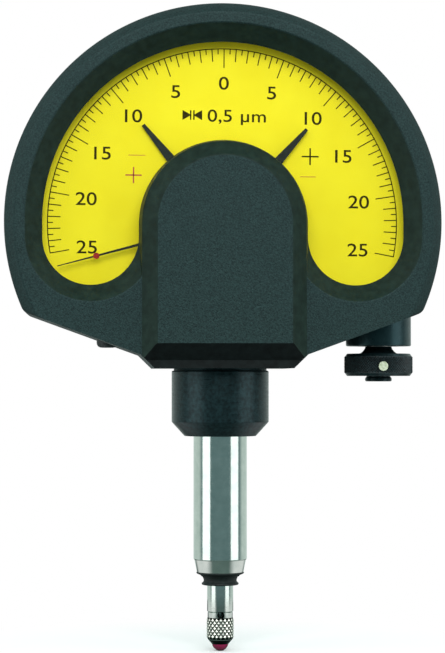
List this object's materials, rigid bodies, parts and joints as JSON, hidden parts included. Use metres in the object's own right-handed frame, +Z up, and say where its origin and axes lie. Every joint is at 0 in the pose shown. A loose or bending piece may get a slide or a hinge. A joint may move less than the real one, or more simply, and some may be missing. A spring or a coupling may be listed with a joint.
{
  "type": "dial comparator",
  "caption": "mechanical dial comparator with a horseshoe dial window, steel clamping stem, sprung spindle with a ball contact and a knurled fine adjuster",
  "frame": {"origin": "on the stem's axis, halfway along its clamping cylinder", "axes": "+Z up along the spindle to the housing, -Y out of the dial, +X to the right of the dial"},
  "size_m": [0.064, 0.023, 0.0957],
  "materials": {
    "housing_enamel": "fine speckled satin black",
    "collar_black": "satin black",
    "crystal": "clear",
    "ground_steel": "ground and polished",
    "screw_steel": "turned",
    "spring_steel": "drawn wire",
    "movement_brass": "brushed",
    "ruby": "polished crimson",
    "dial_yellow": "satin yellow paint with dark print",
    "pointer_black": "matt black",
    "marker_black": "matt black",
    "bellows_rubber": "matt black",
    "knob_steel": "blackened and knurled",
    "dot_cream": "cream enamel",
    "plug_black": "matt black"
  },
  "bodies": {
    "housing": {"front_housing": "housing_enamel", "rear_cover": "housing_enamel", "cover_screws": "screw_steel", "window_crystal": "crystal", "crystal_clip": "spring_steel", "stem_collar": "collar_black", "stem": "ground_steel", "stem_cap": "movement_brass", "bellows_flange": "collar_black", "measuring_spring": "spring_steel", "overtravel_spring": "spring_steel", "front_plate": "movement_brass", "rear_plate": "movement_brass", "bearing_jewels": "ruby", "pillars": "movement_brass", "pillar_screws": "screw_steel", "movement_screws": "screw_steel", "marker_washer": "movement_brass", "dial_keeper": "movement_brass", "adjuster_bush": "movement_brass", "sector_stops": "screw_steel", "hairspring": "spring_steel", "hairspring_stud": "movement_brass", "lifter_plug": "plug_black"},
    "pointer_group": {"pointer": "pointer_black", "pointer_hub": "movement_brass", "pointer_arbor": "screw_steel", "hairspring_collet": "movement_brass"},
    "sector_group": {"gear_sector": "movement_brass", "sector_arbor": "screw_steel", "sector_arm": "screw_steel"},
    "lever_group": {"transfer_lever": "movement_brass", "pallet_jewel": "ruby", "lever_arbor": "screw_steel"},
    "transfer_group": {"transfer_pin": "screw_steel"},
    "spindle_group": {"spindle": "ground_steel", "spindle_head": "ground_steel", "guide_pin": "screw_steel", "pin_bush": "movement_brass", "spring_ring": "screw_steel", "contact_point": "ground_steel", "ruby_ball": "ruby", "bellows": "bellows_rubber"},
    "cage_group": {"ball_cage": "movement_brass", "guide_balls": "screw_steel"},
    "dial_group": {"dial": "dial_yellow", "dial_lug": "movement_brass"},
    "nut_group": {"adjuster_nut": "movement_brass"},
    "knob_group": {"fine_adjust_knob": "knob_steel", "index_dot": "dot_cream", "knob_cap_screw": "screw_steel", "adjuster_screw": "screw_steel", "shaft_clip": "spring_steel"},
    "marker_left_group": {"marker_left": "marker_black"},
    "marker_right_group": {"marker_right": "marker_black"},
    "setting_left_group": {"marker_arbor_left": "screw_steel"},
    "setting_right_group": {"marker_arbor_right": "screw_steel"}
  },
  "joints": [
    {"name": "pointer_turn", "type": "hinge", "parent": "housing", "child": "pointer_group", "pos_m": [0, 0, 0.04068], "axis": [0, 1, 0], "range_deg": [0, 208.2], "stiffness_Nm_per_rad": 0.0000005, "springref_deg": -85.94},
    {"name": "sector_swing", "type": "hinge", "parent": "housing", "child": "sector_group", "pos_m": [-0.01677, 0, 0.02804], "axis": [0, -1, 0], "range_deg": [0, 10.45]},
    {"name": "lever_swing", "type": "hinge", "parent": "housing", "child": "lever_group", "pos_m": [0.0025, 0, 0.03068], "axis": [0, 1, 0], "range_deg": [0, 1.2]},
    {"name": "transfer_slide", "type": "slide", "parent": "housing", "child": "transfer_group", "axis": [0, 0, 1], "range_m": [0, 0.000052002]},
    {"name": "spindle_overtravel", "type": "slide", "parent": "transfer_group", "child": "spindle_group", "axis": [0, 0, 1], "range_m": [0, 0.0029], "stiffness_N_per_m": 100, "springref_m": -0.009, "deforming": ["bellows", "measuring_spring", "overtravel_spring"]},
    {"name": "cage_slide", "type": "slide", "parent": "housing", "child": "cage_group", "axis": [0, 0, 1], "range_m": [0, 0.00146]},
    {"name": "knob_turn", "type": "hinge", "parent": "housing", "child": "knob_group", "pos_m": [0.0239, 0, 0.04068], "axis": [0, 0, 1], "range_deg": [-1502.7, 1502.7]},
    {"name": "nut_slide", "type": "slide", "parent": "housing", "child": "nut_group", "axis": [0, 0, 1], "range_m": [-0.00209, 0.00209]},
    {"name": "dial_turn", "type": "hinge", "parent": "housing", "child": "dial_group", "pos_m": [0, 0, 0.04068], "axis": [0, 1, 0], "range_deg": [-5.02, 5.02]},
    {"name": "marker_left_setting", "type": "hinge", "parent": "housing", "child": "setting_left_group", "pos_m": [0.00658, 0, 0.03687], "axis": [0, 1, 0], "range_deg": [-503.25, 228]},
    {"name": "marker_left_turn", "type": "hinge", "parent": "housing", "child": "marker_left_group", "pos_m": [0, 0, 0.04068], "axis": [0, 1, 0], "range_deg": [-60.9, 134.3]},
    {"name": "marker_right_setting", "type": "hinge", "parent": "housing", "child": "setting_right_group", "pos_m": [0.00285, 0, 0.03363], "axis": [0, 1, 0], "range_deg": [-218.25, 513]},
    {"name": "marker_right_turn", "type": "hinge", "parent": "housing", "child": "marker_right_group", "pos_m": [0, 0, 0.04068], "axis": [0, 1, 0], "range_deg": [-136.9, 58.3]}
  ],
  "couplings": [
    {"joint": "lever_swing", "follows": "transfer_slide", "rad_per_m": 400},
    {"joint": "sector_swing", "follows": "transfer_slide", "rad_per_m": 3490.5},
    {"joint": "pointer_turn", "follows": "transfer_slide", "rad_per_m": 69810},
    {"joint": "cage_slide", "follows": "spindle_overtravel", "ratio": 0.5},
    {"joint": "knob_turn", "follows": "nut_slide", "rad_per_m": -12566},
    {"joint": "dial_turn", "follows": "nut_slide", "rad_per_m": -41.841},
    {"joint": "marker_left_turn", "follows": "marker_left_setting", "ratio": -0.26667},
    {"joint": "marker_right_turn", "follows": "marker_right_setting", "ratio": -0.26667}
  ]
}
